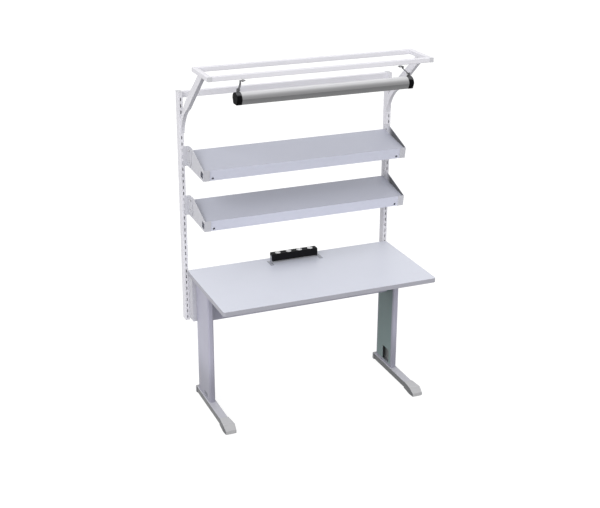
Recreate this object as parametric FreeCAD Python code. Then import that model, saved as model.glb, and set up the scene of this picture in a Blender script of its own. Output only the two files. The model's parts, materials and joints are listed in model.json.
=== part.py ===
import FreeCAD, Part
import math
import os

os.makedirs("parts", exist_ok=True)
V = FreeCAD.Vector

# All sizes are in millimetres. X runs along the bench, Y from its front to its rear, Z up from the floor.
# Y is measured from the middle of the worktop until the pieces are saved.

# Worktop
top_width = 1500.0
top_depth = 750.0
top_thick = 30.0
top_height = 920.0
top_corner = 18.0
edge_band = 2.0
edge_round = 1.5

# Leg columns, their covers and the cable openings
leg_inset = 60.0
column_thick = 40.0
column_depth = 250.0
column_rear_in = 55.0
column_wall = 2.0
column_round = 12.0
cover_margin = 18.0
cover_thick = 1.0
cover_seam = 0.3
cover_rim = 8.0
cable_hole_width = 95.0
cable_hole_height = 100.0
cable_hole_low = 72.0
cable_hole_y = -32.0
cable_hole_round = 6.0
cable_slot_width = 66.0
cable_slot_height = 26.0
cable_slot_low = 68.0
cable_slot_y = -38.0

# Feet, their caps and the levelling glides
foot_clear = 6.0
foot_width = 60.0
foot_height = 44.0
foot_wall = 3.0
foot_round = 6.0
foot_front_in = 125.0
foot_rear_stub = 10.0
front_cap_length = 90.0
front_cap_nose = 50.0
front_cap_skin = 4.0
front_cap_flare = 11.0
front_cap_nose_height = 24.0
front_cap_bottom = 3.0
rear_cap_length = 20.0
rear_cap_skin = 4.0
rear_cap_plug = 18.0
glide_in_front = 40.0
glide_in_rear = 35.0
glide_radius = 19.0
glide_gap = 0.3
stem_radius = 4.0
stem_length = 32.0
nut_radius = 9.0
nut_height = 16.0
run_clear = 0.05

# Support arms and the cross panel
support_height = 30.0
support_wall = 2.5
support_front_in = 75.0
panel_top_gap = 8.0
panel_height = 240.0
panel_return = 30.0
panel_sheet = 2.0

# Uprights, their brackets and the cross rail
upright_width = 30.0
upright_depth = 60.0
upright_wall = 2.0
upright_round = 3.0
upright_gap = 21.0
upright_drop = 375.0
upright_length = 1600.0
slot_pitch = 42.5
slot_count = 37
slot_first = 22.5
slot_width = 6.0
slot_height = 24.0
plug_depth = 12.0
plug_head = 2.0
bracket_width = 60.0
bracket_sheet = 3.0
bracket_top_gap = 10.0
bracket_low_gap = 14.0
bracket_rear_gap = 4.0
bolt_radius = 4.0
bolt_clear = 0.2
bolt_head_radius = 7.0
bolt_head = 5.0
bolt_reach = 8.0
cross_rail_height = 40.0
cross_rail_depth = 30.0
rail_wall = 2.0
rail_round = 2.5

# Top frame and the arms that carry it
frame_tube = 30.0
frame_rise = 223.0
frame_reach = 584.0
frame_depth = 302.0
frame_arm_inset = 8.0
frame_wall = 2.5
rail_slot = 12.0
arm_width = 24.0
arm_wall = 2.5
arm_foot_drop = 271.0
arm_foot_height = 97.0
arm_foot_belly = 40.0
arm_bend_reach = 151.0
arm_bend_rise = 194.0
arm_back_rise = 177.0
arm_head_in = 118.0
arm_head_length = 78.0

# Shelves: tilting trays on mounts that hook into the uprights
shelf_slot_count = 27
shelf_step_count = 8
shelf_tilt = 10.0
mount_setback = 15.9
mount_sheet = 3.0
mount_slot_margin = 1.0
mount_below = 44.0
mount_above = 91.0
mount_reach = 40.0
mount_slot_rise = 20.0
hook_thick = 4.0
hook_height = 18.0
hook_drop = 5.0
hook_depth = 4.0
side_gap = 0.4
side_sheet = 3.0
deck_rise = 54.0
deck_back = 43.0
deck_length = 325.0
deck_sheet = 1.5
lip_up = 8.0
lip_height = 72.0
lip_return = 60.0
deck_rear_flange = 25.0
side_rear_low = -50.0
side_rear_high = 88.0
side_peak_s = -24.0
side_peak = 107.0
flange_width = 43.0
window_length = 48.0
window_margin = 10.0
lip_hole_in = 21.0
lip_hole_up = 15.0
lip_hole_radius = 8.0
lock_arm = 70.0
tilt_back = 10.0
tilt_forward = 20.0
lock_slot_clear = 0.5
shelf_nut = 6.0

# Lamp, its hangers and sliders
tube_length = 1149.0
tube_end_room = 17.5
lamp_drop = 58.0
lamp_forward = 30.0
lamp_pivot_rise = 14.0
hood_height = 72.0
hood_half = 44.0
hood_shoulder = 34.0
hood_foot_half = 30.0
hood_sheet = 1.5
hood_lip = 6.0
cap_length = 33.0
cap_proud = 1.0
cap_end_wall = 4.0
lug_in = 7.4
lug_thick = 12.0
lug_radius = 10.0
strap_width = 24.0
strap_thick = 3.0
strap_end = 9.0
strap_gap = 0.4
strap_jog = 19.0
strap_jog_low = 10.0
strap_jog_high = 32.0
strap_tab_drop = 10.0
strap_tab_length = 32.0
strap_hole_in = 13.0
slider_length = 26.0
slider_width = 21.0
slider_height = 8.0
slider_gap = 0.3
slider_stem = 4.0
slider_nut = 6.0
reflector_sheet = 0.8
reflector_half = 26.0
reflector_flat = 12.0
reflector_height = 30.0
reflector_end = 5.0
diffuser_thick = 2.0
diffuser_half = 27.5
tube_radius = 8.0
tube_z = 18.0
holder_width = 20.0
holder_low = 8.0
holder_thick = 12.0
ballast_length = 360.0
ballast_width = 36.0
ballast_height = 22.0

# Power strip and its brackets
strip_length = 337.0
strip_depth = 50.0
strip_height = 52.0
strip_wall = 2.0
strip_round = 3.0
strip_inset = 73.0
strip_rise = 38.0
socket_count = 4
socket_pitch = 80.0
socket_radius = 19.4
socket_clear = 0.1
socket_depth = 18.0
recess_radius = 17.0
recess_depth = 13.0
pin_hole_radius = 2.5
pin_hole_depth = 3.0
pin_pitch = 19.0
ear_gap = 0.4
ear_sheet = 2.5
ear_half = 12.0
ear_foot_width = 24.0
ear_foot_front = 64.0
ear_foot_rear = 18.0
strip_pivot_radius = 3.0
strip_pivot_head = 3.5
strip_pivot_head_radius = 6.0
screw_radius = 2.0
screw_depth = 12.0
screw_head = 2.5
screw_head_radius = 4.2
screw_clear = 0.1


def box(x0, x1, y0, y1, z0, z1):
    return Part.makeBox(x1 - x0, y1 - y0, z1 - z0, V(x0, y0, z0))


def rod(radius, start, end):
    way = end.sub(start)
    return Part.makeCylinder(radius, way.Length, start, way)


def along(shape, axis):
    """Straight edges of a shape that run along one axis (0 X, 1 Y, 2 Z)."""
    found = []
    for edge in shape.Edges:
        way = edge.Vertexes[-1].Point.sub(edge.Vertexes[0].Point)
        if way.Length > 1e-6 and abs(abs(way[axis]) - way.Length) < 1e-6:
            found.append(edge)
    return found


def rounded(x0, x1, y0, y1, z0, z1, radius, axis):
    block = box(x0, x1, y0, y1, z0, z1)
    return block.makeFillet(radius, along(block, axis))


def tube(x0, x1, y0, y1, z0, z1, wall, radius, axis):
    """Rectangular tube with open ends along one axis."""
    shrink = [wall, wall, wall]
    shrink[axis] = -1.0
    outer = rounded(x0, x1, y0, y1, z0, z1, radius, axis)
    inner = box(x0 + shrink[0], x1 - shrink[0], y0 + shrink[1], y1 - shrink[1],
                z0 + shrink[2], z1 - shrink[2])
    if radius > wall + 0.2:
        inner = inner.makeFillet(radius - wall, along(inner, axis))
    return outer.cut(inner)


def across(edges, x0, x1):
    """Prism between two X planes over a closed outline of edges drawn in the plane X = 0."""
    face = Part.Face(Part.Wire(edges))
    return spread(face, x0, x1)


def spread(face, x0, x1):
    moved = face.copy()
    moved.translate(V(x0, 0, 0))
    return moved.extrude(V(x1 - x0, 0, 0))


def outline(points):
    """Edges of a closed polygon of (y, z) points in the plane X = 0."""
    ring = [V(0, y, z) for y, z in points]
    return [Part.makeLine(a, b) for a, b in zip(ring, ring[1:] + ring[:1])]


def fold(points, sheet):
    """Outline of a bent sheet: the points run along its outer face, the sheet lies to their left."""
    inner = []
    for i, (a, b) in enumerate(points):
        normals = []
        for j in (i - 1, i):
            if 0 <= j < len(points) - 1:
                da = points[j + 1][0] - points[j][0]
                db = points[j + 1][1] - points[j][1]
                size = math.hypot(da, db)
                normals.append((-db / size, da / size))
        n = (sum(v[0] for v in normals), sum(v[1] for v in normals))
        share = sheet * len(normals) / (n[0] * n[0] + n[1] * n[1])
        inner.append((a + n[0] * share, b + n[1] * share))
    return points + inner[::-1]


def mirror(shape):
    return shape.mirror(V(0, 0, 0), V(1, 0, 0))


def both(shape):
    return [shape, mirror(shape)]


def bolt(start, way, length, head, head_radius, radius):
    """Bolt with its head outside the start point and its shank along the given way."""
    unit = V(way).normalize()
    shank = rod(radius, start, start.add(unit * length))
    return shank.fuse(rod(head_radius, start.sub(unit * head), start)).removeSplitter()


def save(name, shapes):
    """One solid, or a group of solids, written as one piece."""
    group = shapes if isinstance(shapes, list) else [shapes]
    placed = []
    for shape in group:
        for solid in shape.Solids:
            moved = solid.copy()
            moved.translate(V(0, -middle_y, 0))
            placed.append(moved)
    whole = placed[0] if len(placed) == 1 else Part.makeCompound(placed)
    whole.exportStep("parts/" + name + ".step")


def save_pair(name, shape):
    save("right_" + name, shape)
    save("left_" + name, mirror(shape))


# Positions that follow from the sizes
top_under = top_height - top_thick
top_front = -top_depth / 2
top_rear = top_depth / 2
leg_x = top_width / 2 - leg_inset
upright_x = top_width / 2
upright_inner = upright_x - upright_width / 2
upright_outer = upright_x + upright_width / 2
upright_front = top_rear + upright_gap
upright_rear = upright_front + upright_depth
upright_low = top_height - upright_drop
upright_high = upright_low + upright_length
middle_y = (top_front + upright_rear) / 2
foot_top = foot_clear + foot_height
column_rear = top_rear - column_rear_in
column_front = column_rear - column_depth
column_y = (column_front + column_rear) / 2
column_in = leg_x - column_thick / 2
column_out = leg_x + column_thick / 2
column_high = top_under - support_height
foot_rear = column_rear + foot_rear_stub
foot_front = top_front + foot_front_in
front_cap_back = foot_front + front_cap_length
glide_rows = (foot_front + glide_in_front, foot_rear - glide_in_rear)

# Worktop board with its edge band
half_w = top_width / 2
blank = rounded(-half_w, half_w, top_front, top_rear, top_under, top_height, top_corner, 2)
rims = [e for f in blank.Faces if abs(f.normalAt(0, 0).z) > 0.9 for e in f.Edges]
blank = blank.makeFillet(edge_round, rims)
core_w = half_w - edge_band
core_d = top_depth / 2 - edge_band
board = rounded(-core_w, core_w, -core_d, core_d, top_under, top_height, top_corner - edge_band, 2)
save("worktop_edge_band", blank.cut(board))

# Power strip brackets on the worktop, with their screws
strip_z = top_height + strip_rise
strip_y = top_rear - strip_inset
ear_x0 = strip_length / 2 + ear_gap
ear_x1 = ear_x0 + ear_sheet
foot_x1 = ear_x0 + ear_foot_width
foot_high = top_height + ear_sheet
ear = box(ear_x0, ear_x1, strip_y - ear_half, strip_y + ear_half, top_height, strip_z)
ear = ear.fuse(rod(ear_half, V(ear_x0, strip_y, strip_z), V(ear_x1, strip_y, strip_z)))
ear_foot = rounded(ear_x0, foot_x1, strip_y - ear_foot_front, strip_y + ear_foot_rear,
                   top_height, foot_high, 2, 2)
strip_bracket = ear.fuse(ear_foot).removeSplitter()
hole = strip_pivot_radius + run_clear
strip_bracket = strip_bracket.cut(rod(hole, V(ear_x0 - 1, strip_y, strip_z),
                                      V(ear_x1 + 1, strip_y, strip_z)))
screw_x = (ear_x1 + foot_x1) / 2
screws = []
for screw_y in (strip_y - ear_foot_front + ear_half, strip_y + ear_foot_rear - ear_half):
    seat = V(screw_x, screw_y, foot_high)
    screw = bolt(seat, V(0, 0, -1), ear_sheet + screw_depth, screw_head, screw_head_radius, screw_radius)
    drill = rod(screw_radius + screw_clear, V(screw_x, screw_y, top_height - screw_depth),
                seat.add(V(0, 0, 1)))
    strip_bracket = strip_bracket.cut(drill)
    for side_drill in both(drill):
        board = board.cut(side_drill)
    screws += both(screw)
save("strip_brackets", both(strip_bracket))
save("strip_screws", screws)
save("worktop_board", board)

# Power strip: hollow body, sockets and pivot screws
strip_half = strip_length / 2
body = box(-strip_half, strip_half, strip_y - strip_depth / 2, strip_y + strip_depth / 2,
           strip_z - strip_height / 2, strip_z + strip_height / 2)
body = body.makeFillet(strip_round, body.Edges)
body = body.cut(box(-strip_half + strip_wall, strip_half - strip_wall,
                    strip_y - strip_depth / 2 + strip_wall, strip_y + strip_depth / 2 - strip_wall,
                    strip_z - strip_height / 2 + strip_wall, strip_z + strip_height / 2 - strip_wall))
socket_top = strip_z + strip_height / 2
sockets = []
for i in range(socket_count):
    sx = (i - (socket_count - 1) / 2) * socket_pitch
    mouth = V(sx, strip_y, socket_top)
    body = body.cut(rod(socket_radius + socket_clear, mouth.sub(V(0, 0, strip_wall + 1)),
                        mouth.add(V(0, 0, 1))))
    cup = rod(socket_radius, mouth.sub(V(0, 0, socket_depth)), mouth)
    cup = cup.cut(rod(recess_radius, mouth.sub(V(0, 0, recess_depth)), mouth.add(V(0, 0, 1))))
    for side in (-1, 1):
        pin = mouth.add(V(side * pin_pitch / 2, 0, -recess_depth))
        cup = cup.cut(rod(pin_hole_radius, pin.sub(V(0, 0, pin_hole_depth)), pin.add(V(0, 0, 1))))
    sockets.append(cup)
pivots = []
for side in (-1, 1):
    head = V(side * (ear_x1 + ear_gap), strip_y, strip_z)
    reach = ear_gap + ear_sheet + ear_gap + strip_wall + 2
    pivots.append(bolt(head, V(-side, 0, 0), reach, strip_pivot_head, strip_pivot_head_radius,
                       strip_pivot_radius))
    body = body.cut(rod(hole, V(side * strip_half, strip_y, strip_z),
                        V(side * (strip_half - strip_wall - 3), strip_y, strip_z)))
save("strip_body", body)
save("strip_sockets", sockets)
save("strip_pivot_screws", pivots)

# Levelling glides and the nuts they turn in
nuts = []
for row, glide_y in zip(("front", "rear"), glide_rows):
    pad_top = foot_clear - glide_gap
    pad = rod(glide_radius, V(leg_x, glide_y, 0), V(leg_x, glide_y, pad_top))
    pad = pad.makeFillet(1.5, [pad.Edges[0]])
    stem = rod(stem_radius, V(leg_x, glide_y, pad_top - 1), V(leg_x, glide_y, pad_top + stem_length))
    glide = pad.fuse(stem).removeSplitter()
    save("right_" + row + "_glide", glide)
    save("left_" + row + "_glide", mirror(glide))
    nut_low = foot_clear + foot_wall
    nut = rod(nut_radius, V(leg_x, glide_y, nut_low), V(leg_x, glide_y, nut_low + nut_height))
    nut = nut.cut(rod(stem_radius + run_clear, V(leg_x, glide_y, 0), V(leg_x, glide_y, foot_top)))
    nuts += both(nut)
save("glide_nuts", nuts)

# Foot beams with front and rear caps
foot_in = leg_x - foot_width / 2
foot_out = leg_x + foot_width / 2
beam = tube(foot_in, foot_out, foot_front, foot_rear, foot_clear, foot_top, foot_wall, foot_round, 1)
for glide_y in glide_rows:
    beam = beam.cut(rod(stem_radius + 1, V(leg_x, glide_y, 0),
                        V(leg_x, glide_y, foot_clear + foot_wall + 1)))


def cap_section(y, half, z0, z1, radius):
    """Rounded upright rectangle across the foot at one place along it."""
    corners = [(half - radius, z0 + radius, -90), (half - radius, z1 - radius, 0),
               (radius - half, z1 - radius, 90), (radius - half, z0 + radius, 180)]
    marks = []
    for cx, cz, turn in corners:
        for step in (0, 45, 90):
            angle = math.radians(turn + step)
            marks.append(V(leg_x + cx + radius * math.cos(angle), y, cz + radius * math.sin(angle)))
    edges = []
    for i in range(0, 12, 3):
        edges.append(Part.Arc(marks[i], marks[i + 1], marks[i + 2]).toShape())
        edges.append(Part.makeLine(marks[i + 2], marks[(i + 3) % 12]))
    return Part.Wire(edges)


cap_half = foot_width / 2 + front_cap_skin
cap_top = foot_top + front_cap_skin
nose_y = foot_front - front_cap_skin
cap = Part.makeLoft([cap_section(front_cap_back, cap_half - 1, front_cap_bottom, cap_top, 5),
                     cap_section(nose_y, cap_half + front_cap_flare - front_cap_skin, front_cap_bottom,
                                 cap_top, 5),
                     cap_section(foot_front - front_cap_nose,
                                 cap_half + front_cap_flare - 2 * front_cap_skin,
                                 front_cap_bottom, front_cap_bottom + front_cap_nose_height, 5)], True, True)
cap = cap.cut(rounded(foot_in, foot_out, foot_front, front_cap_back + 1, foot_clear, foot_top,
                      foot_round, 1))
cap = cap.cut(box(foot_in, foot_out, foot_front, front_cap_back + 1, 0, foot_clear + foot_round))
save_pair("front_foot_cap", cap)

rear_cap = rounded(foot_in - rear_cap_skin, foot_out + rear_cap_skin, foot_rear, foot_rear + rear_cap_length,
                   front_cap_bottom, foot_top + rear_cap_skin, foot_round, 1)
rear_rim = [f for f in rear_cap.Faces if f.normalAt(0, 0).y > 0.9][0]
rear_cap = rear_cap.makeFillet(foot_round - 1, rear_rim.Edges)
plug_in = foot_wall + cover_seam
rear_cap = rear_cap.fuse(rounded(foot_in + plug_in, foot_out - plug_in, foot_rear - rear_cap_plug,
                                 foot_rear + 1,
                                 foot_clear + plug_in, foot_top - plug_in, foot_round - foot_wall, 1))
save("rear_foot_caps", both(rear_cap.removeSplitter()))
save_pair("foot_beam", beam)

# Leg columns with cover plates on their inner faces; their bolt holes come with the bracket and panel bolts
panel_z1 = column_high - panel_top_gap
panel_z0 = panel_z1 - panel_height
column = tube(column_in, column_out, column_front, column_rear, foot_top, column_high, column_wall,
              column_round, 2)
cover_y0 = column_front + cover_margin
cover_y1 = column_rear - cover_margin
cover_z0 = foot_top + cover_margin
cover_z1 = column_high - cover_margin
column = column.cut(box(column_in - 1, column_in + cover_thick, cover_y0, cover_y1, cover_z0, cover_z1))
column = column.cut(box(column_in - 1, column_in + column_wall + 1,
                        cover_y0 + cover_rim, cover_y1 - cover_rim,
                        cable_hole_low + cable_hole_height + cover_margin, panel_z0 - cover_margin))
cover = box(column_in, column_in + cover_thick, cover_y0 + cover_seam, cover_y1 - cover_seam,
            cover_z0 + cover_seam, cover_z1 - cover_seam)
hole_y = column_y + cable_hole_y
cable_hole = rounded(column_in - 1, column_in + column_wall + 1,
                     hole_y - cable_hole_width / 2, hole_y + cable_hole_width / 2,
                     cable_hole_low, cable_hole_low + cable_hole_height, cable_hole_round, 0)
column = column.cut(cable_hole)
cover = cover.cut(cable_hole)
slot_y = column_y + cable_slot_y
cable_slot = rounded(column_out - column_wall - 1, column_out + 1,
                     slot_y - cable_slot_width / 2, slot_y + cable_slot_width / 2,
                     cable_slot_low, cable_slot_low + cable_slot_height, cable_hole_round, 0)
column = column.cut(cable_slot)

# Support arms under the worktop
support_front = top_front + support_front_in
support = tube(column_in, column_out, support_front, column_rear - panel_sheet, column_high, top_under,
               support_wall, support_wall, 1)
save_pair("support_arm", support)

# Cross panel between the columns
panel_y0 = column_y - panel_return / 2
panel_y1 = column_y + panel_return / 2
panel = box(-column_in, column_in, panel_y0, panel_y1, panel_z0, panel_z1)
panel = panel.cut(box(-column_in + panel_sheet, column_in - panel_sheet, panel_y0 + panel_sheet,
                      panel_y1 + 1,
                      panel_z0 + panel_sheet, panel_z1 - panel_sheet))

# Uprights: slotted tubes with end plugs
upright = tube(upright_inner, upright_outer, upright_front, upright_rear, upright_low, upright_high,
               upright_wall, upright_round, 2)
slot_z = [upright_low + slot_first + slot_pitch * i for i in range(slot_count)]
slot_half = (slot_height - slot_width) / 2
slots = []
for z in slot_z:
    for piece in (box(upright_x - slot_width / 2, upright_x + slot_width / 2, upright_front - 1,
                      upright_front + upright_wall + 1, z - slot_half, z + slot_half),
                  rod(slot_width / 2, V(upright_x, upright_front - 1, z - slot_half),
                      V(upright_x, upright_front + upright_wall + 1, z - slot_half)),
                  rod(slot_width / 2, V(upright_x, upright_front - 1, z + slot_half),
                      V(upright_x, upright_front + upright_wall + 1, z + slot_half))):
        slots.append(piece)
upright = upright.cut(slots)


def end_plug(z, out):
    """Plug in one end of an upright; out is +1 at the top and -1 at the bottom."""
    fit = upright_wall + cover_seam
    low, high = sorted((z, z - out * plug_depth))
    neck = box(upright_inner + fit, upright_outer - fit, upright_front + fit, upright_rear - fit, low, high)
    low, high = sorted((z, z + out * plug_head))
    lid = rounded(upright_inner, upright_outer, upright_front, upright_rear, low, high, upright_round, 2)
    return neck.fuse(lid).removeSplitter()


plugs = both(end_plug(upright_high, 1)) + both(end_plug(upright_low, -1))

# Upright brackets: channels bolted to the columns and to the uprights
bracket_x1 = upright_inner
bracket_x0 = bracket_x1 - bracket_width
bracket_y1 = upright_rear - bracket_rear_gap
bracket_z1 = top_under - bracket_top_gap
bracket_z0 = upright_low + bracket_low_gap
bracket = box(bracket_x0, bracket_x1, column_rear, bracket_y1, bracket_z0, bracket_z1)
bracket = bracket.cut(box(bracket_x0 + bracket_sheet, bracket_x1 - bracket_sheet,
                          column_rear + bracket_sheet,
                          bracket_y1 + 1, bracket_z0 - 1, bracket_z1 + 1))
bolt_rows = (bracket_z0 + upright_depth, bracket_z1 - upright_depth)
drill_radius = bolt_radius + bolt_clear
bolts = []
for z in bolt_rows:
    seats = [(V(bracket_x1 - bracket_sheet, (upright_front + upright_rear) / 2, z), V(1, 0, 0)),
             (V((bracket_x0 + column_out) / 2, column_rear + bracket_sheet, z), V(0, -1, 0))]
    for seat, way in seats:
        bolts += both(bolt(seat, way, bolt_reach, bolt_head, bolt_head_radius, bolt_radius))
        drill = rod(drill_radius, seat.sub(way), seat.add(way * (bolt_reach + 1)))
        bracket = bracket.cut(drill)
        upright = upright.cut(drill)
        column = column.cut(drill)
for z in (panel_z0 + upright_depth, panel_z1 - upright_depth):
    seat = V(column_in - panel_sheet, column_y, z)
    bolts += both(bolt(seat, V(1, 0, 0), bolt_reach, bolt_head, bolt_head_radius, bolt_radius))
    drill = rod(drill_radius, seat.sub(V(1, 0, 0)), seat.add(V(bolt_reach + 1, 0, 0)))
    column = column.cut(drill)
    cover = cover.cut(drill)
    for side_drill in both(drill):
        panel = panel.cut(side_drill)
save_pair("upright_bracket", bracket)
save_pair("column", column)
save_pair("column_cover", cover)
save("cross_panel", panel)
save("frame_bolts", bolts)
save_pair("upright", upright)

# Cross rail between the tops of the uprights
rail_y = (upright_front + upright_rear) / 2
cross_rail = tube(-upright_inner, upright_inner, rail_y - cross_rail_depth / 2,
                  rail_y + cross_rail_depth / 2,
                  upright_high - cross_rail_height, upright_high, rail_wall, rail_round, 0)
save("top_cross_rail", cross_rail)

# Top frame: two arms, a plain rear rail and a slotted front rail
frame_top = upright_high + frame_rise
frame_under = frame_top - frame_tube
frame_front = upright_front - frame_reach
frame_rear = frame_front + frame_depth
frame_arm_x = upright_x - frame_arm_inset
frame_in = frame_arm_x - frame_tube / 2
frame_out = frame_arm_x + frame_tube / 2
frame_arm = tube(frame_in, frame_out, frame_front, frame_rear, frame_under, frame_top, frame_wall,
                 rail_round + 1, 1)
save_pair("frame_arm", frame_arm)
rear_rail = tube(-frame_in, frame_in, frame_rear - frame_tube, frame_rear, frame_under, frame_top,
                 frame_wall,
                 rail_round + 1, 0)
save("rear_frame_rail", rear_rail)
rail_mid = frame_front + frame_tube / 2
front_rail = tube(-frame_in, frame_in, frame_front, frame_front + frame_tube, frame_under, frame_top,
                  frame_wall,
                  rail_round + 1, 0)
front_rail = front_rail.cut(box(-frame_in - 1, frame_in + 1, rail_mid - rail_slot / 2,
                                rail_mid + rail_slot / 2,
                                frame_under - 1, frame_under + frame_wall + 1))
save("front_frame_rail", front_rail)
plug_fit = frame_wall + cover_seam
for y, out in ((frame_front, -1), (frame_rear, 1)):
    y0, y1 = sorted((y + out * plug_head, y - out * plug_depth))
    lid0, lid1 = sorted((y, y + out * plug_head))
    neck = box(frame_in + plug_fit, frame_out - plug_fit, y0, y1, frame_under + plug_fit,
               frame_top - plug_fit)
    lid = rounded(frame_in, frame_out, lid0, lid1, frame_under, frame_top, rail_round + 1, 1)
    plugs += both(neck.fuse(lid).removeSplitter())
save("tube_plugs", plugs)


def hook(z):
    """Tongue that passes through an upright slot and drops behind its front wall."""
    x0 = upright_x - hook_thick / 2
    x1 = upright_x + hook_thick / 2
    wall_back = upright_front + upright_wall + cover_seam
    tongue = box(x0, x1, upright_front - 0.5, wall_back + hook_depth, z - hook_height / 2,
                 z + hook_height / 2)
    return tongue.fuse(box(x0, x1, wall_back, wall_back + hook_depth, z - hook_height / 2 - hook_drop, z))


# Curved arms from the uprights up to the top frame
foot_y = upright_front
arm_foot_low = upright_high - arm_foot_drop
arm_head_front = frame_front + arm_head_in
bend = (foot_y - arm_bend_reach, arm_foot_low + arm_bend_rise)
back_bend = (bend[0], arm_foot_low + arm_foot_height + arm_back_rise)
head_rear = arm_head_front + arm_head_length
arm_edges = [
    Part.Arc(V(0, foot_y, arm_foot_low),
             V(0, (foot_y + bend[0]) / 2 + arm_foot_belly / 2,
               (arm_foot_low + bend[1]) / 2 + arm_foot_belly / 2),
             V(0, bend[0], bend[1])).toShape(),
    Part.makeLine(V(0, bend[0], bend[1]), V(0, arm_head_front, frame_under)),
    Part.makeLine(V(0, arm_head_front, frame_under), V(0, head_rear, frame_under)),
    Part.makeLine(V(0, head_rear, frame_under), V(0, back_bend[0], back_bend[1])),
    Part.Arc(V(0, back_bend[0], back_bend[1]),
             V(0, (foot_y + back_bend[0]) / 2 + arm_foot_belly / 8,
               (arm_foot_low + arm_foot_height + back_bend[1]) / 2 + arm_foot_belly / 8),
             V(0, foot_y, arm_foot_low + arm_foot_height)).toShape(),
    Part.makeLine(V(0, foot_y, arm_foot_low + arm_foot_height), V(0, foot_y, arm_foot_low))]
arm_face = Part.Face(Part.Wire(arm_edges))
arm_in = frame_arm_x - arm_width / 2
arm_out = frame_arm_x + arm_width / 2
light_arm = spread(arm_face, arm_in, arm_out)
hollow = spread(arm_face.makeOffset2D(-arm_wall), arm_in + arm_wall, arm_out - arm_wall)
light_arm = light_arm.cut(hollow)
head_mid = arm_head_front + arm_head_length / 2
light_arm = light_arm.cut(box(arm_in + arm_wall, arm_out - arm_wall, head_mid - arm_width / 2,
                              head_mid + arm_width / 2,
                              frame_under - arm_wall * 2, frame_under + 1))
arm_hook_low = arm_foot_low + hook_height
arm_hook_high = arm_foot_low + arm_foot_height - hook_height
arm_slots = [z for z in slot_z if arm_hook_low < z < arm_hook_high]
for z in arm_slots:
    light_arm = light_arm.fuse(hook(z))
save_pair("light_arm", light_arm.removeSplitter())

# Shelf mounts, trays, side plates and bolts
ear_in = upright_inner - mount_setback - mount_sheet
ear_out = ear_in + mount_sheet
side_out = ear_in - side_gap
side_in = side_out - side_sheet
pivot_y = upright_front - mount_below
front_s = deck_back - deck_length
deck_top = deck_rise
lip_top = deck_top + lip_up
lip_low = lip_top - lip_height


def turned(shape, angle, z):
    """Shelf piece drawn about its pivot, turned by an angle and set at its height."""
    moved = shape.copy()
    moved.rotate(V(0, 0, 0), V(1, 0, 0), angle)
    moved.translate(V(0, pivot_y, z))
    return moved


def shelf_mount(z):
    low = z - mount_below
    high = z + mount_above
    flange_out = upright_x - slot_width / 2 - mount_slot_margin
    flange = box(ear_in, flange_out, upright_front - mount_sheet, upright_front, low, high)
    plate = across(outline([(upright_front, low), (upright_front, high), (pivot_y - lock_arm / 3, high),
                            (pivot_y - mount_reach, high - mount_reach / 2), (pivot_y - mount_reach, z),
                            (pivot_y - mount_reach / 3, low)]), ear_in, ear_out)
    whole = flange.fuse(plate)
    for slot in slot_z:
        if low + hook_height < slot < high - hook_height / 2:
            whole = whole.fuse(box(flange_out - 1, upright_x + hook_thick / 2, upright_front - mount_sheet,
                                   upright_front, slot - hook_height / 2, slot + hook_height / 2))
            whole = whole.fuse(hook(slot))
    whole = whole.cut(rod(bolt_radius + run_clear, V(ear_in - 1, pivot_y, z), V(ear_out + 1, pivot_y, z)))
    track = bolt_radius + lock_slot_clear
    marks = []
    for radius in (lock_arm - track, lock_arm + track):
        for angle in (-tilt_back, (tilt_forward - tilt_back) / 2, tilt_forward):
            turn = math.radians(angle)
            marks.append(V(0, pivot_y - radius * math.sin(turn), z + radius * math.cos(turn)))
    ring = [Part.Arc(marks[0], marks[1], marks[2]).toShape(), Part.makeLine(marks[2], marks[5]),
            Part.Arc(marks[5], marks[4], marks[3]).toShape(), Part.makeLine(marks[3], marks[0])]
    whole = whole.cut(across(ring, ear_in - 1, ear_out + 1))
    for end in ((marks[0] + marks[3]) * 0.5, (marks[2] + marks[5]) * 0.5):
        whole = whole.cut(rod(track, end.add(V(ear_in - 1, 0, 0)), end.add(V(ear_out + 1, 0, 0))))
    return whole.removeSplitter()


tray_path = [(deck_back, deck_top - deck_rear_flange), (deck_back, deck_top),
             (front_s + deck_sheet, deck_top),
             (front_s + deck_sheet, lip_top), (front_s, lip_top), (front_s, lip_low),
             (front_s + lip_return, lip_low), (front_s + lip_return, lip_low + deck_sheet),
             (front_s + deck_sheet, lip_low + deck_sheet), (front_s + deck_sheet, deck_top - deck_sheet),
             (deck_back - deck_sheet, deck_top - deck_sheet),
             (deck_back - deck_sheet, deck_top - deck_rear_flange)]
tray = across(outline(tray_path), -side_in, side_in)
web_s = front_s + lip_return - deck_sheet
web = outline([(web_s, lip_low), (web_s + deck_sheet, lip_low),
               (web_s + deck_sheet, deck_top - deck_sheet / 2),
               (web_s, deck_top - deck_sheet / 2)])
tray = tray.fuse(across(web, -side_in, side_in)).removeSplitter()
lip_hole_x = side_out - flange_width - lip_hole_in
for x in (-lip_hole_x, lip_hole_x):
    tray = tray.cut(rod(lip_hole_radius, V(x, front_s - 1, lip_low + lip_hole_up),
                        V(x, front_s + deck_sheet + 1, lip_low + lip_hole_up)))
side = across(outline([(deck_back - side_sheet * 5, side_rear_low),
                       (deck_back + side_sheet * 2, side_rear_high),
                       (side_peak_s, side_peak), (front_s, lip_top + side_sheet), (front_s, lip_low)]),
              side_in, side_out)
side = side.fuse(box(side_out - flange_width, side_out, front_s - side_sheet, front_s, lip_low,
                     lip_top + side_sheet))
side = side.cut(box(side_in - 1, side_out + 1, front_s + side_sheet * 2,
                    front_s + side_sheet * 2 + window_length,
                    lip_low + window_margin, deck_top - window_margin))
lock_turn = math.radians(-shelf_tilt)
lock_at = V(0, -lock_arm * math.sin(lock_turn), lock_arm * math.cos(lock_turn))
head_x = ear_out + side_gap
shank = head_x - side_in + shelf_nut
shelf_bolts = []
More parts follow.
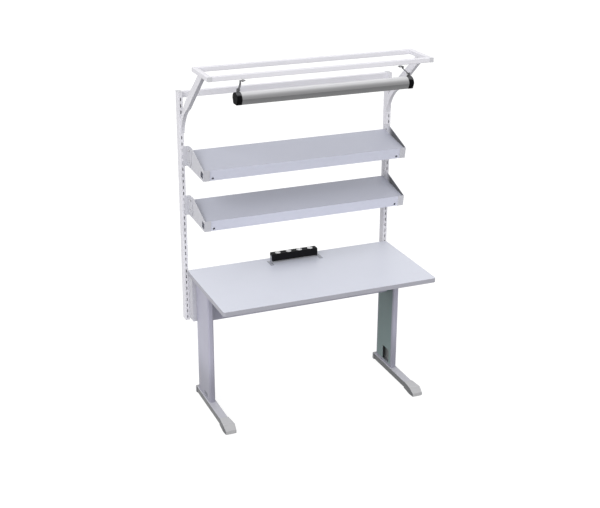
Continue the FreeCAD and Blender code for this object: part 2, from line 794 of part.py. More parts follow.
for centre in (V(0, 0, 0), lock_at):
    seat = centre.add(V(head_x, 0, 0))
    shelf_bolts.append(bolt(seat, V(-1, 0, 0), shank, bolt_head, bolt_head_radius, bolt_radius))
    nut = rod(bolt_head_radius, centre.add(V(side_in - shelf_nut, 0, 0)), centre.add(V(side_in, 0, 0)))
    nut = nut.cut(rod(bolt_radius, centre.add(V(0, 0, 0)), centre.add(V(head_x, 0, 0))))
    shelf_bolts[-1] = shelf_bolts[-1].fuse(nut).removeSplitter()
    side = side.cut(rod(bolt_radius + bolt_clear, centre.add(V(side_in - 1, 0, 0)),
                        centre.add(V(side_out + 1, 0, 0))))
side = side.removeSplitter()
for level, index in (("upper", shelf_slot_count), ("lower", shelf_slot_count - shelf_step_count)):
    z = slot_z[index] - mount_slot_rise
    mount = shelf_mount(z)
    save(level + "_shelf_right_mount", mount)
    save(level + "_shelf_left_mount", mirror(mount))
    save(level + "_shelf_tray", turned(tray, shelf_tilt, z))
    save(level + "_shelf_right_side", turned(side, shelf_tilt, z))
    save(level + "_shelf_left_side", turned(mirror(side), shelf_tilt, z))
    group = []
    for piece in shelf_bolts:
        group += [turned(piece, shelf_tilt, z), turned(mirror(piece), shelf_tilt, z)]
    save(level + "_shelf_bolts", group)

# Lamp housing and what it holds
lamp_length = tube_length + 2 * tube_end_room
lamp_pivot_z = frame_under - lamp_drop
hood_z = lamp_pivot_z - lamp_pivot_rise - hood_height
hood_x = lamp_length / 2 - cap_length
lamp_y = rail_mid - lamp_forward


def lamp_point(y, z):
    return V(0, lamp_y + y, hood_z + z)


hood_face = Part.Face(Part.Wire([
    Part.makeLine(lamp_point(-hood_foot_half, 0), lamp_point(-hood_half, hood_shoulder)),
    Part.Arc(lamp_point(-hood_half, hood_shoulder), lamp_point(0, hood_height),
             lamp_point(hood_half, hood_shoulder)).toShape(),
    Part.makeLine(lamp_point(hood_half, hood_shoulder), lamp_point(hood_foot_half, 0)),
    Part.makeLine(lamp_point(hood_foot_half, 0), lamp_point(-hood_foot_half, 0))]))
inner_face = hood_face.makeOffset2D(-hood_sheet)
mouth_half = hood_foot_half - hood_lip
hood = spread(hood_face, -hood_x, hood_x).cut(spread(inner_face, -hood_x - 1, hood_x + 1))
hood = hood.cut(box(-hood_x - 1, hood_x + 1, lamp_y - mouth_half, lamp_y + mouth_half,
                    hood_z - 1, hood_z + hood_sheet + 1))
save("lamp_housing", hood)
cap_face = hood_face.makeOffset2D(cap_proud)
lamp_end = lamp_length / 2
end_cap = spread(cap_face, hood_x, lamp_end)
end_cap = end_cap.cut(spread(inner_face, hood_x - 1, lamp_end - cap_end_wall))
lug_x0 = hood_x + lug_in
lug_x1 = lug_x0 + lug_thick
lug = rod(lug_radius, V(lug_x0, lamp_y, lamp_pivot_z), V(lug_x1, lamp_y, lamp_pivot_z))
lug = lug.fuse(box(lug_x0, lug_x1, lamp_y - lug_radius, lamp_y + lug_radius,
                   lamp_pivot_z - lamp_pivot_rise - hood_sheet, lamp_pivot_z))
end_cap = end_cap.fuse(lug).removeSplitter()
pin_hole = rod(bolt_radius + run_clear, V(lug_x0 - 1, lamp_y, lamp_pivot_z),
               V(lug_x1 + 1, lamp_y, lamp_pivot_z))
end_cap = end_cap.cut(pin_hole)
save_pair("lamp_end_cap", end_cap)
diffuser = box(-hood_x, hood_x, lamp_y - diffuser_half, lamp_y + diffuser_half,
               hood_z + hood_sheet, hood_z + hood_sheet + diffuser_thick)
save("lamp_diffuser", diffuser)
sheet_low = hood_sheet + diffuser_thick
reflector_x = lamp_end - reflector_end
sheet_path = [(reflector_half, sheet_low), (reflector_flat, reflector_height),
              (-reflector_flat, reflector_height), (-reflector_half, sheet_low)]
reflector = across(outline([(lamp_y + y, hood_z + z) for y, z in fold(sheet_path[::-1], reflector_sheet)]),
                   -reflector_x, reflector_x)
save("lamp_reflector", reflector)
tube_half = tube_length / 2
save("lamp_tube", rod(tube_radius, V(-tube_half, lamp_y, hood_z + tube_z),
                      V(tube_half, lamp_y, hood_z + tube_z)))
holder = box(tube_half, tube_half + holder_thick, lamp_y - holder_width / 2, lamp_y + holder_width / 2,
             hood_z + holder_low, hood_z + reflector_height)
save("lamp_holders", both(holder))
ballast_low = hood_z + reflector_height + reflector_sheet
save("lamp_ballast", rounded(-ballast_length / 2, ballast_length / 2, lamp_y - ballast_width / 2,
                             lamp_y + ballast_width / 2, ballast_low, ballast_low + ballast_height, 2, 0))

# Lamp hangers with their sliders in the front rail, and the lamp's pivot bolts
strap_out = lug_x0 - strap_gap
strap_top = frame_under - strap_tab_drop
strap_path = [(strap_out - strap_jog - strap_tab_length, strap_top), (strap_out - strap_jog, strap_top),
              (strap_out - strap_jog, lamp_pivot_z + strap_jog_high),
              (strap_out, lamp_pivot_z + strap_jog_low),
              (strap_out, lamp_pivot_z - strap_end)]
ring = [V(a, 0, b) for a, b in fold(strap_path[::-1], strap_thick)]
strap_face = Part.Face(Part.makePolygon(ring + ring[:1]))
half_strap = strap_width / 2
strap_face.translate(V(0, lamp_y - half_strap, 0))
strap = strap_face.extrude(V(0, lamp_forward + strap_width, 0))
jog_z = (lamp_pivot_z + strap_jog_low, lamp_pivot_z + strap_jog_high)
lean = outline([(lamp_y - half_strap, lamp_pivot_z - strap_end),
                (lamp_y + half_strap, lamp_pivot_z - strap_end),
                (lamp_y + half_strap, jog_z[0]), (rail_mid + half_strap, jog_z[1]),
                (rail_mid + half_strap, frame_under), (rail_mid - half_strap, frame_under),
                (rail_mid - half_strap, jog_z[1]), (lamp_y - half_strap, jog_z[0])])
strap = strap.common(across(lean, strap_path[0][0] - 1, strap_out + 1))
low_edges = [e for e in along(strap, 0) if e.CenterOfMass.z < lamp_pivot_z]
strap = strap.makeFillet(strap_end - 1, low_edges)
strap = strap.cut(pin_hole.copy().translated(V(-lug_thick, 0, 0)))
stem_x = strap_path[0][0] + strap_hole_in
strap = strap.cut(rod(slider_stem + bolt_clear, V(stem_x, rail_mid, strap_top - strap_thick - 1),
                      V(stem_x, rail_mid, strap_top + 1)))
save("lamp_straps", both(strap))
slider_low = frame_under + frame_wall + slider_gap
slider = box(stem_x - slider_length / 2, stem_x + slider_length / 2, rail_mid - slider_width / 2,
             rail_mid + slider_width / 2, slider_low, slider_low + slider_height)
stem_low = strap_top - strap_thick - slider_nut
slider = slider.fuse(rod(slider_stem, V(stem_x, rail_mid, stem_low), V(stem_x, rail_mid, slider_low + 1)))
slider = slider.fuse(rod(bolt_head_radius, V(stem_x, rail_mid, stem_low),
                         V(stem_x, rail_mid, stem_low + slider_nut)))
collar = strap_top + strap_tab_drop - 2
slider = slider.fuse(rod(bolt_head_radius, V(stem_x, rail_mid, strap_top), V(stem_x, rail_mid, collar)))
save("lamp_sliders", both(slider.removeSplitter()))
pin_head = V(strap_out - strap_thick - strap_gap, lamp_y, lamp_pivot_z)
pin = bolt(pin_head, V(1, 0, 0), lug_x1 - pin_head.x, bolt_head, bolt_head_radius, bolt_radius)
save("lamp_pivot_bolts", both(pin))
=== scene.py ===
import bmesh
import bpy
import json
import math
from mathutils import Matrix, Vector


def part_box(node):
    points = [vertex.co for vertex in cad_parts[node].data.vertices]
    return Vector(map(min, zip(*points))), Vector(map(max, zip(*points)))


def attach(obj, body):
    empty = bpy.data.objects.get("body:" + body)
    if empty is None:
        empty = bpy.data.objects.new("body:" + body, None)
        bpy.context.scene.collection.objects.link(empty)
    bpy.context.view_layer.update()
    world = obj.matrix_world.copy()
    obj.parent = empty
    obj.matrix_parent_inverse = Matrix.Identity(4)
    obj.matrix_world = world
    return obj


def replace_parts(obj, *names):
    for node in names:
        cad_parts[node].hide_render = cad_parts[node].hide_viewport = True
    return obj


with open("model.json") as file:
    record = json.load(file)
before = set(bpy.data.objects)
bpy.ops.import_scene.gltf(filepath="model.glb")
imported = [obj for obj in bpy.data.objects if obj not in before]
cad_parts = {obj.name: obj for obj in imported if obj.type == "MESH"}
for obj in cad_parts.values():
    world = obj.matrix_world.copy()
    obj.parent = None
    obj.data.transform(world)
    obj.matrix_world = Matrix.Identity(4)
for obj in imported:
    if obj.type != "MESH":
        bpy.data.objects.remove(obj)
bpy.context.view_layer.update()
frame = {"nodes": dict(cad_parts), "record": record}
nodes = frame["nodes"]
record = frame["record"]


class Line:
    """A shader socket that takes part in Python expressions."""

    def __init__(self, tree, socket=None):
        self.tree = tree
        self.socket = socket

    def add(self, kind, settings=None, sockets=None, out=0):
        """One more node in the same tree: its type, its settings, then its sockets' values or links."""
        made = self.tree.nodes.new(kind)
        for name, value in (settings or {}).items():
            if name == "stops":
                ramp = made.color_ramp
                while len(ramp.elements) < len(value):
                    ramp.elements.new(0.5)
                for element, (place, colour) in zip(ramp.elements, value):
                    element.position = place
                    element.color = rgba(colour)
            else:
                setattr(made, name, value)
        for name, value in (sockets or {}).items():
            found = [s for i, s in enumerate(made.inputs) if name in (i, s.identifier, s.name)][0]
            if isinstance(value, Line):
                self.tree.links.new(value.socket, found)
            else:
                found.default_value = value
        return Line(self.tree, made.outputs[out])

    def math(self, operation, first, second=0.0):
        """One Math node on values or lines."""
        return self.add("ShaderNodeMath", {"operation": operation}, {0: first, 1: second})

    def __add__(self, other):
        return self.math("ADD", self, other)

    def __sub__(self, other):
        return self.math("SUBTRACT", self, other)

    def __rsub__(self, other):
        return self.math("SUBTRACT", other, self)

    def __mul__(self, other):
        return self.math("MULTIPLY", self, other)

    def __abs__(self):
        return self.math("ABSOLUTE", self)

    __radd__ = __add__
    __rmul__ = __mul__

    def noise(self, scale, detail=2.0, roughness=0.5):
        """Cloudy noise from 0 to 1, with about scale lumps to the metre."""
        return self.add("ShaderNodeTexNoise", None,
                        {"Vector": self, "Scale": scale, "Detail": detail, "Roughness": roughness})

    def cells(self, scale):
        """Distance to the middle of the nearest of many small cells."""
        return self.add("ShaderNodeTexVoronoi", {"feature": "F1"}, {"Vector": self, "Scale": scale})

    def waves(self, direction, scale):
        """Even ridges across one direction."""
        return self.add("ShaderNodeTexWave", {"wave_type": "BANDS", "bands_direction": direction},
                        {"Vector": self, "Scale": scale})

    def stretched(self, x, y, z):
        """A place multiplied along each axis, so that what follows it is drawn out."""
        return self.add("ShaderNodeVectorMath", {"operation": "MULTIPLY"}, {0: self, 1: (x, y, z)})

    def band(self, low, high):
        """0 below low, 1 above high, smooth between."""
        return self.add("ShaderNodeMapRange", {"interpolation_type": "SMOOTHSTEP"},
                        {"Value": self, "From Min": low, "From Max": high})

    def between(self, low, high, soft):
        """1 between low and high, with soft edges inside them."""
        return self.band(low, low + soft) * (1 - self.band(high - soft, high))

    def blend(self, first, second):
        """A colour between two, this line being the share of the second."""
        return self.add("ShaderNodeMix", {"data_type": "RGBA"},
                        {"Factor_Float": self, "A_Color": first, "B_Color": second}, out=2)

    def bump(self, distance, strength, over=None):
        """The surface's direction with this line as its relief, over another direction if one is given."""
        sockets = {"Height": self, "Distance": distance, "Strength": strength}
        if over:
            sockets["Normal"] = over
        return self.add("ShaderNodeBump", None, sockets)

    def ramp(self, stops):
        """A colour from a row of stops, each a place from 0 to 1 and a colour."""
        return self.add("ShaderNodeValToRGB", {"stops": stops}, {"Fac": self})

    def eased(self, radius):
        """The surface's direction with its sharp edges eased."""
        return self.add("ShaderNodeBevel", {"samples": 4}, {"Radius": radius})

    def edges(self, eased):
        """About 0 on flat faces, more along the edges."""
        flat = self.add("ShaderNodeNewGeometry", out="Normal")
        return 1 - self.add("ShaderNodeVectorMath", {"operation": "DOT_PRODUCT"}, {0: eased, 1: flat},
                            out="Value")


def rgba(colour):
    return (*colour, 1.0)


def shade(colour, share):
    """A colour made lighter (share over 1) or darker."""
    return rgba([min(1.0, c * share) for c in colour])


def scene_object(name, data):
    """A new object in the scene."""
    made = bpy.data.objects.new(name, data)
    bpy.context.scene.collection.objects.link(made)
    return made


def finish_for(name):
    """A new material, the place on the object as a line, and a way to set the shader's sockets."""
    made = bpy.data.materials.new(name)
    made.use_nodes = True
    tree = made.node_tree
    shader = tree.nodes["Principled BSDF"]

    def put(**sockets):
        for key, value in sockets.items():
            socket = shader.inputs[key.replace("_", " ")]
            if isinstance(value, Line):
                tree.links.new(value.socket, socket)
            else:
                socket.default_value = value

    return made, Line(tree).add("ShaderNodeTexCoord", out="Object"), put


def axes_of(place):
    """Places along the bench, from front to rear and up, as three lines."""
    split = place.add("ShaderNodeSeparateXYZ", None, {"Vector": place}).socket.node
    return [Line(place.tree, socket) for socket in split.outputs]


# Places on the bench that its finishes follow, in metres: first those of the frame, then the changes of tone
column_low, column_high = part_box("right_column")
foot_low, foot_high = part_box("right_foot_beam")
leg_x = (foot_low.x + foot_high.x) / 2
foot_half = (foot_high.x - foot_low.x) / 2
cap_low, cap_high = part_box("right_front_foot_cap")
cap_half = (cap_high.x - cap_low.x) / 2
tray_low, tray_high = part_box("upper_shelf_tray")
side_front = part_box("upper_shelf_right_side")[0].y
housing_low, housing_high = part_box("lamp_housing")
lamp_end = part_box("right_lamp_end_cap")[1].x

column_skin = 0.0014
column_nose = 0.013
column_dark_below = 0.12
column_light_above = 0.42
foot_edge = 0.0025
cap_edge = 0.0032
cap_rear_half = 0.033
cap_toe_half = 0.037
cap_toe_length = 0.046
cap_widest_y = cap_low.y + cap_toe_length
cap_bend = 0.006
lip_depth = 0.013
side_skin = 0.0007
side_flange = 0.0105
side_fade_start = 0.22
side_fade_end = 0.30
shelves_above = 1.0
crown_depth = 0.018
lamp_end_edge = 0.002
# Widths over which one tone passes into the next
sheet_soft = 0.0004
edge_soft = 0.002
lip_soft = 0.004
shelf_soft = 0.1


def column_inside(place):
    """1 on the inside of a leg column, where painted shade goes."""
    x, y = axes_of(place)[:2]
    return (abs(x).between(column_low.x + column_skin, column_high.x - column_skin, sheet_soft)
            * y.between(column_low.y + column_nose, column_high.y - column_nose, sheet_soft))


def shade_near_floor(place):
    """Up to 1 on the lowest part of a leg column, for painted shade that darkens it towards the floor."""
    return 1 - axes_of(place)[2].band(column_dark_below, column_light_above)


def shelf_side_shade(place):
    """Where painted shade goes: 1 on the inner face of a shelf side, less towards the upright."""
    x, y, z = axes_of(place)
    inner_face = abs(x).between(tray_high.x - side_skin, tray_high.x + side_skin, sheet_soft)
    behind_flange = y.band(side_front + side_flange, side_front + side_flange + lip_soft)
    ahead_of_upright = 1 - y.band(side_fade_start, side_fade_end)
    return inner_face * behind_flange * ahead_of_upright * z.band(shelves_above, shelves_above + shelf_soft)


def deck(place):
    """1 on a shelf's deck, 0 on its front lip."""
    lip_rear = tray_low.y + lip_depth
    return axes_of(place)[1].band(lip_rear, lip_rear + lip_soft)


def foot_flank(place):
    """1 on the sides of a foot beam, where painted shade goes."""
    from_edge = abs(abs(axes_of(place)[0]) - leg_x) - foot_half
    return from_edge.band(-foot_edge, edge_soft - foot_edge)


def cap_flank(place):
    """1 on the sides of a front foot cap, which first widens and then narrows to its toe, for painted shade.
    """
    x, y = axes_of(place)[:2]
    rear_slope = (cap_half - cap_rear_half) / (cap_high.y - cap_widest_y)
    toe_slope = (cap_half - cap_toe_half) / (cap_widest_y - cap_low.y)
    half = place.math("MINIMUM", (cap_high.y - y) * rear_slope + cap_rear_half,
                      (y - cap_low.y) * toe_slope + cap_toe_half)
    from_edge = abs(abs(x) - leg_x) - half
    return from_edge.band(-cap_edge, edge_soft - cap_edge)


def cap_back(place):
    """1 on the level back of a front foot cap, where painted light goes."""
    return axes_of(place)[1].band(cap_widest_y - cap_bend, cap_widest_y + cap_bend)


def crown_highlight_area(place):
    """Where a painted highlight goes: 1 on the rounded top of a lamp end cap, 0 on its end face."""
    x, y, z = axes_of(place)
    on_top = z.band(housing_high.z - crown_depth, housing_high.z - crown_depth / 3)
    end_face = abs(x).band(lamp_end - lamp_end_edge, lamp_end - lamp_end_edge / 2)
    return on_top * (1 - end_face)


def patched(tone, place, patches):
    """A tone with other colours over parts of the surface: where, how strongly and which colour."""
    for where, share, colour in patches:
        tone = (where(place) * share).blend(tone, rgba(colour))
    return tone


def powder_coat(name, colour, roughness=0.42, shine=0.5, patches=()):
    """Sprayed and baked paint: fine orange peel, slow shifts of tone, rubbed edges, scuffs near the floor."""
    made, place, put = finish_for(name)
    tone = place.noise(scale=3.5, detail=3.0).blend(shade(colour, 0.97), shade(colour, 1.03))
    low_down = 1 - axes_of(place)[2].band(0.0, 0.5)
    scuffs = place.noise(scale=60.0, detail=6.0, roughness=0.65).band(0.56, 0.74) * low_down
    tone = (scuffs * 0.24).blend(tone, shade(colour, 0.72))
    eased = place.eased(0.0008)
    patchy = place.noise(scale=90.0, detail=4.0, roughness=0.6).band(0.42, 0.62)
    rubbed = place.edges(eased).band(0.02, 0.25) * patchy
    tone = (rubbed * 0.5).blend(tone, shade(colour, 1.18))
    unevenness = place.noise(scale=25.0, detail=3.0) * 0.12
    orange_peel = place.noise(scale=1100.0).bump(0.00012, 0.35, eased)
    put(Base_Color=patched(tone, place, patches), Roughness=unevenness + (roughness - 0.06) + rubbed * 0.1,
        Specular_IOR_Level=shine, Normal=orange_peel)
    return made


def laminate(name, colour):
    """Pressed laminate: a very fine grey fleck, faint wipe marks and a satin surface."""
    made, place, put = finish_for(name)
    fleck = place.noise(scale=900.0, roughness=0.7).band(0.52, 0.70)
    pale = place.noise(scale=640.0, roughness=0.7).band(0.56, 0.74)
    tone = (fleck * 0.5).blend(rgba(colour), shade(colour, 0.90))
    tone = (pale * 0.5).blend(tone, shade(colour, 1.06))
    cloud = place.stretched(1.0, 2.2, 1.0).noise(scale=2.4, detail=4.0).band(0.3, 0.75)
    tone = (cloud * 0.35).blend(tone, shade(colour, 0.965))
    wiped = place.stretched(1.0, 9.0, 1.0).noise(scale=14.0, detail=5.0, roughness=0.6)
    press_grain = place.noise(scale=1300.0).bump(0.00008, 0.3)
    put(Base_Color=tone, Roughness=wiped * 0.14 + 0.30, Normal=press_grain)
    return made


def moulded(name, colour, roughness, shine=0.5, patches=()):
    """Moulded plastic: spark-eroded grain, a soft unevenness of gloss and rubbed edges."""
    made, place, put = finish_for(name)
    tone = place.noise(scale=9.0, detail=3.0).blend(shade(colour, 0.93), shade(colour, 1.07))
    eased = place.eased(0.0006)
    patchy = place.noise(scale=70.0, detail=4.0, roughness=0.6).band(0.40, 0.62)
    rubbed = place.edges(eased).band(0.02, 0.25) * patchy
    tone = (rubbed * 0.4).blend(tone, shade(colour, 1.25))
    unevenness = place.noise(scale=40.0, detail=3.0) * 0.16
    grain = place.cells(1400.0).bump(0.00015, 0.4, eased)
    put(Base_Color=patched(tone, place, patches), Roughness=unevenness + (roughness - 0.08) - rubbed * 0.1,
        Specular_IOR_Level=shine, Normal=grain)
    return made


def zinc(name, colour):
    """Zinc-plated steel: metal with faint crystals and a fine grain."""
    made, place, put = finish_for(name)
    crystals = place.cells(420.0).blend(shade(colour, 0.9), shade(colour, 1.12))
    put(Base_Color=crystals, Metallic=1.0, Roughness=place.noise(scale=300.0, detail=3.0) * 0.18 + 0.24,
        Normal=place.noise(scale=2200.0).bump(0.00005, 0.4))
    return made


def opal_glass(name, colour):
    """Coated lamp glass: faintly cloudy white powder behind a glossy skin."""
    made, place, put = finish_for(name)
    powder = place.noise(scale=12.0).blend(shade(colour, 0.96), rgba(colour))
    put(Base_Color=powder, Roughness=place.noise(scale=30.0) * 0.05 + 0.08, Coat_Weight=0.6)
    return made


def prism_cover(name, colour):
    """Prismatic lamp cover: small pyramids pressed in a clear sheet."""
    made, place, put = finish_for(name)
    rows = place.waves("X", 45.0)
    files = place.waves("Y", 45.0)
    put(Base_Color=(rows * files).blend(shade(colour, 0.9), rgba(colour)), Roughness=0.12,
        Transmission_Weight=0.35, Normal=(rows + files).bump(0.0008, 0.6))
    return made


def housing_with_painted_shading(name, tones):
    """Lamp housing: a painted highlight on its back and painted shade down its sides, as grey tones over its
    height.
    """
    made, place, put = finish_for(name)
    up = (axes_of(place)[2] - housing_low.z) * (1 / (housing_high.z - housing_low.z))
    drawn = place.stretched(0.3, 6.0, 6.0).noise(scale=9.0, detail=3.0) * 0.04 - 0.02
    stops = [(at, (tone, tone, tone * 1.02)) for at, tone in tones]
    put(Base_Color=(up + drawn).ramp(stops), Roughness=place.noise(scale=25.0, detail=3.0) * 0.12 + 0.42,
        Normal=place.noise(scale=1100.0).bump(0.0001, 0.3))
    return made


# Painted shading of the lamp housing over its height: painted shade on the lower sides, a painted highlight
# on the back
painted_housing_shading = [(0.0, 0.25), (0.5, 0.19), (0.64, 0.22), (0.74, 0.29), (0.80, 0.38), (0.86, 0.49),
                 (0.93, 0.56), (0.985, 0.69)]
# Painted shade: a darker, greenish tone inside the leg columns
painted_shade_inside = (0.34, 0.36, 0.36)
# Painted shade on the inner faces of the shelf sides, next to the deck
painted_shade_side = (0.085, 0.085, 0.09)
# Painted shade on the sides of the foot beams and front foot caps
painted_shade_flank = (0.10, 0.103, 0.108)
# Painted shade: the leg columns darker towards the floor
painted_shade_low = (0.226, 0.224, 0.273)
deck_grey = (0.44, 0.452, 0.525)
# Painted light: a lighter tone on the level back of the front foot caps
painted_light_cap_back = (0.50, 0.50, 0.515)
# Painted highlight: grey on the rounded top of the black lamp end caps
painted_crown_highlight = (0.10, 0.10, 0.105)
finishes = {
    "laminate": laminate("grey_laminate", (0.662, 0.681, 0.762)),
    "edge_plastic": moulded("edge_band_plastic", (0.385, 0.385, 0.435), 0.46),
    "frame_paint": powder_coat("frame_powder_coat", (0.765, 0.757, 0.803)),
    # The foot beams carry painted shade on their sides
    "foot_paint": powder_coat("foot_powder_coat", (0.48, 0.48, 0.528),
                              patches=[(foot_flank, 1.0, painted_shade_flank)]),
    # Painted shade darkens the insides of the leg columns
    # Painted shade darkens the leg columns towards the floor
    "column_paint": powder_coat("column_powder_coat", (0.435, 0.430, 0.525),
                                patches=[(shade_near_floor, 0.8, painted_shade_low), (column_inside, 1.0, painted_shade_inside)]),
    # The covers' dark green-grey is partly their paint and partly painted shade from under the worktop
    "cover_paint": powder_coat("cover_coat_with_painted_shade", (0.206, 0.276, 0.276), shine=0.2),
    "shelf_paint": powder_coat("shelf_powder_coat", (0.654, 0.67, 0.78), patches=[(deck, 1.0, deck_grey)]),
    # The shelf sides carry painted shade on their inner faces
    "bracket_paint": powder_coat("bracket_powder_coat", (0.59, 0.59, 0.635),
                                 patches=[(shelf_side_shade, 1.0, painted_shade_side)]),
    # The front foot caps carry painted light on their level back
    # The front foot caps carry painted shade on their sides
    "foot_cap_plastic": moulded("foot_cap_plastic", (0.43, 0.43, 0.44), 0.5,
                                patches=[(cap_back, 1.0, painted_light_cap_back), (cap_flank, 1.0, painted_shade_flank)]),
    "rear_cap_plastic": moulded("rear_cap_plastic", (0.36, 0.36, 0.38), 0.5),
    "plug_plastic": moulded("plug_plastic", (0.62, 0.62, 0.65), 0.5),
    # The slot plugs' dark blue-grey is painted shade for the inside of the slots
    "slot_plug": moulded("slot_shade_plug", (0.125, 0.13, 0.16), 0.5),
    "dark_plastic": moulded("dark_plastic", (0.10, 0.10, 0.11), 0.55),
    "black_plastic": moulded("black_plastic", (0.008, 0.008, 0.0095), 0.5, shine=0.05),
    # The lamp end caps carry a painted highlight on their rounded top
    "lamp_cap": moulded("lamp_cap_plastic", (0.003, 0.003, 0.0035), 0.5, shine=0.03,
                        patches=[(crown_highlight_area, 1.0, painted_crown_highlight)]),
    "strap_steel": powder_coat("strap_paint", (0.10, 0.10, 0.11), 0.45),
    "ear_paint": powder_coat("strip_bracket_paint", (0.325, 0.337, 0.387)),
    # The lamp housing's colour is painted shade and a painted highlight
    "lamp_paint": housing_with_painted_shading("lamp_housing_with_painted_shade", painted_housing_shading),
    "lamp_white": powder_coat("reflector_white", (0.85, 0.85, 0.85), 0.3),
    "diffuser_plastic": prism_cover("prismatic_cover", (0.86, 0.88, 0.88)),
    "tube_glass": opal_glass("lamp_tube_glass", (0.92, 0.93, 0.95)),
    "socket_plastic": moulded("socket_plastic", (0.82, 0.82, 0.82), 0.34),
    "bolt_steel": zinc("zinc_plated_steel", (0.55, 0.55, 0.56)),
}
for subpart in record["subparts"]:
    is_lamp_cap = subpart["node"].endswith("lamp_end_cap")
    materials = nodes[subpart["node"]].data.materials
    materials.clear()
    materials.append(finishes["lamp_cap" if is_lamp_cap else subpart["material_slot"]])

# Fasteners: socket screws and hexagon nuts, turned round the axes of the bolts that they stand for
turned_sides = 36
sharp_edge = 0.6
thinnest_run = 0.0005
thickest_head = 0.0055
shank_share = 1.2


def round_runs(node):
    """Low and high corners of each round run of a group of bolts."""
    mesh = node.data
    joined = list(range(len(mesh.vertices)))

    def first(index):
        while joined[index] != index:
            index = joined[index]
        return index

    for edge in mesh.edges:
        joined[first(edge.vertices[0])] = first(edge.vertices[1])
    runs = {}
    for vertex in mesh.vertices:
        runs.setdefault(first(vertex.index), []).append(vertex.co)
    corners = [[Vector(pick(point[axis] for point in run) for axis in range(3)) for pick in (min, max)]
               for run in runs.values()]
    return [(low, high) for low, high in corners if min(high - low) > thinnest_run]


def hexagon(flat, most):
    """Radius over the angle of a hexagon with its corners cut to a largest radius."""
    return lambda angle: min(most, flat / math.cos((angle + math.pi / 6) % (math.pi / 3) - math.pi / 6))


def screw_rows(head, height, shank, length):
    """A socket screw's outline from its tip to the bottom of its socket: places along it and radii."""
    socket = 0.47 * head
    return [(-length, 0.75 * shank), (-length + 0.25 * shank, shank), (0, shank), (0, 0.97 * head),
            (0.04 * height, head), (0.55 * height, head), (0.80 * height, 0.96 * head),
            (0.94 * height, 0.88 * head), (height, 0.78 * head), (height, hexagon(1.05 * socket, head)),
            (0.95 * height, hexagon(socket, head)), (0.42 * height, hexagon(socket, head))]


def nut_rows(corner, height, shank):
    """A hexagon nut's outline from its seat to the end of the bolt in it."""
    flat = corner * math.cos(math.pi / 6)
    return [(0, shank), (0, 0.84 * corner), (0.07 * height, 0.84 * corner),
            (0.07 * height, hexagon(flat, 0.90 * corner)), (0.2 * height, hexagon(flat, corner)),
            (0.8 * height, hexagon(flat, corner)), (0.95 * height, hexagon(flat, 0.90 * corner)),
            (height, 0.82 * corner), (height, 0.66 * corner), (0.92 * height, shank),
            (0.92 * height, 0.8 * shank)]


def loft(made, rings):
    """One closed body over rings of points."""
    for lower, upper in zip(rings, rings[1:]):
        for step, after in zip(range(-1, len(lower) - 1), range(len(lower))):
            made.faces.new((lower[step], lower[after], upper[after], upper[step]))
    made.faces.new(rings[0][::-1])
    made.faces.new(rings[-1])


def turn(made, seat, way, rows):
    """One closed body from an outline that is turned round a line through its seat."""
    facing = way.to_track_quat("Z", "Y").to_matrix()
    rings = []
    for along, radius in rows:
        ring = []
        for step in range(turned_sides):
            angle = step * math.tau / turned_sides
            reach = radius(angle) if callable(radius) else radius
            point = Vector((reach * math.cos(angle), reach * math.sin(angle), along))
            ring.append(made.verts.new(seat + facing @ point))
        rings.append(ring)
    loft(made, rings)


def new_piece(name, made, finish, body):
    """A piece from a finished mesh, smooth but for its sharp edges."""
    for face in made.faces:
        face.smooth = True
    for edge in made.edges:
        edge.smooth = edge.calc_face_angle(0) < sharp_edge
    mesh = bpy.data.meshes.new(name)
    made.to_mesh(mesh)
    made.free()
    mesh.materials.append(finishes[finish])
    piece = scene_object(name, mesh)
    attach(piece, body)
    return piece


def shank_under(low, high, axis, shanks):
    """The shank that ends at a head or nut, in line with it."""

    def distance(shank):
        off = (shank[0] + shank[1] - low - high) / 2
        off[axis] = 0
        return off.length + min(abs(shank[0][axis] - high[axis]), abs(shank[1][axis] - low[axis]))

    return min(shanks, key=distance)


def fasteners(name, node, body):
    """Screws and nuts in place of a group of bolts."""
    runs = round_runs(nodes[node])
    across = [sorted(high - low)[1] for low, high in runs]
    shank_size = min(across)
    shanks = [run for run, size in zip(runs, across) if size < shank_share * shank_size]
    made = bmesh.new()
    for (low, high), size in zip(runs, across):
        if size < shank_share * shank_size:
            continue
        axis = max(range(3), key=lambda i: abs((high - low)[i] - size))
        middle = (low + high) / 2
        height = (high - low)[axis]
        start, end = shank_under(low, high, axis, shanks)
        way = Vector((0, 0, 0))
        way[axis] = math.copysign(1, middle[axis] - (start + end)[axis] / 2)
        if height > thickest_head:
            rows = nut_rows(size / 2, height, shank_size / 2)
        else:
            rows = screw_rows(size / 2, height, shank_size / 2, (end - start)[axis])
        turn(made, middle - way * height / 2, way, rows)
    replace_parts(new_piece(name, made, "bolt_steel", body), node)


bodies = record["behaviour"]["bodies"]
for name, node in [("frame_socket_screws", "frame_bolts"), ("upper_shelf_screws", "upper_shelf_bolts"),
                   ("lower_shelf_screws", "lower_shelf_bolts"), ("lamp_pivot_screws", "lamp_pivot_bolts"),
                   ("strip_bracket_screws", "strip_screws"), ("strip_tilt_screws", "strip_pivot_screws")]:
    fasteners(name, node, [body for body, members in bodies.items() if node in members][0])

# Plugs that close the low cable slots in the outer faces of the leg columns; their dark blue-grey is painted
# shade for the inside of the slots
slot_width = 0.066
slot_height = 0.026
slot_low = 0.068
slot_ahead = 0.038
slot_round = 0.006
corner_steps = 8
plug_clear = 0.0002


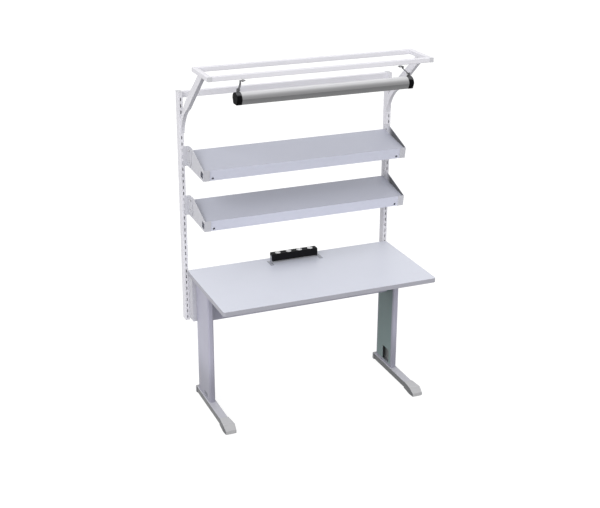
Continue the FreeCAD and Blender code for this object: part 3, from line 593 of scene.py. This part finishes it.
def slot_outline(inset):
    """Points round a slot with rounded corners, drawn in by an inset."""
    radius = slot_round - inset
    points = []
    for quarter, (along, up) in enumerate([(1, 1), (-1, 1), (-1, -1), (1, -1)]):
        for step in range(corner_steps + 1):
            angle = (quarter + step / corner_steps) * math.pi / 2
            points.append((along * (slot_width / 2 - slot_round) + radius * math.cos(angle),
                           up * (slot_height / 2 - slot_round) + radius * math.sin(angle)))
    return points


def slot_plug(side, way):
    """A plug with an eased front edge, a little under the column's face."""
    low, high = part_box(side + "_column")
    face = way * max(abs(low.x), abs(high.x))
    middle_y = (low.y + high.y) / 2 - slot_ahead
    middle_z = slot_low + slot_height / 2
    made = bmesh.new()
    rings = []
    for depth, inset in [(0.0020, 0.0), (0.0012, 0.0), (0.0008, 0.0003), (0.0006, 0.0010)]:
        rings.append([made.verts.new((face - way * depth, middle_y + along, middle_z + up))
                      for along, up in slot_outline(plug_clear + inset)])
    loft(made, rings)
    bmesh.ops.recalc_face_normals(made, faces=made.faces)
    new_piece(side + "_slot_plug", made, "slot_plug", "bench")


slot_plug("left", -1)
slot_plug("right", 1)

# Camera, set as in the photograph
camera_lens = 70.026
camera_place = (-2.8626, -6.6940, 3.9483)
camera_turn = (68.297, -0.271, -22.590)
view = bpy.data.cameras.new("bench_camera")
view.sensor_width = 36.0
view.lens = camera_lens
view.clip_end = 300.0
camera = scene_object("bench_camera", view)
camera.location = camera_place
camera.rotation_euler = [math.radians(angle) for angle in camera_turn]
bpy.context.scene.camera = camera


def sun(name, towards, strength, spread):
    """A far, soft lamp shining along a direction, with its spread in degrees."""
    lamp = bpy.data.lights.new(name, "SUN")
    lamp.energy = strength
    lamp.angle = math.radians(spread)
    scene_object(name, lamp).rotation_euler = Vector(towards).to_track_quat("-Z", "Y").to_euler()


sun("front_lamp", towards=(0.0, 1.0, -0.35), strength=0.66, spread=30)
sun("left_lamp", towards=(1.0, 0.6, -0.78), strength=1.55, spread=40)


def seen(line):
    """1 for what the camera sees directly, in a mirror or through glass."""
    direct, mirrored, through = [line.add("ShaderNodeLightPath", out=ray)
                                 for ray in ("Is Camera Ray", "Is Glossy Ray", "Is Transmission Ray")]
    return line.math("MAXIMUM", line.math("MAXIMUM", direct, mirrored), through)


# World: soft light all round, a white background
soft_light = 0.77
white = (1, 1, 1, 1)
world = bpy.data.worlds.new("studio")
bpy.context.scene.world = world
world.use_nodes = True
sky = world.node_tree.nodes["Background"]
sky.inputs["Color"].default_value = white
sky_strength = seen(Line(world.node_tree)) * (1 - soft_light) + soft_light
world.node_tree.links.new(sky_strength.socket, sky.inputs["Strength"])

# Floor: pale, and it keeps the shadow
floor_half = 60
floor_z = -0.0005
floor_grey = (0.2, 0.2, 0.2, 1)
floor_glow = 0.9
ground = bpy.data.meshes.new("floor")
corners = [(x * floor_half, y * floor_half, floor_z) for x, y in ((-1, -1), (1, -1), (1, 1), (-1, 1))]
ground.from_pydata(corners, [], [(0, 1, 2, 3)])
floor = scene_object("floor", ground)
pale = bpy.data.materials.new("pale_floor")
pale.use_nodes = True
tree = pale.node_tree
tree.nodes.remove(tree.nodes["Principled BSDF"])
base = Line(tree)
matt = base.add("ShaderNodeBsdfDiffuse", None, {"Color": floor_grey})
glow = base.add("ShaderNodeEmission", None, {"Color": white, "Strength": seen(base) * floor_glow})
both = base.add("ShaderNodeAddShader", None, {0: matt, 1: glow})
tree.links.new(both.socket, tree.nodes["Material Output"].inputs["Surface"])
ground.materials.append(pale)

bpy.context.scene.view_settings.view_transform = "Standard"
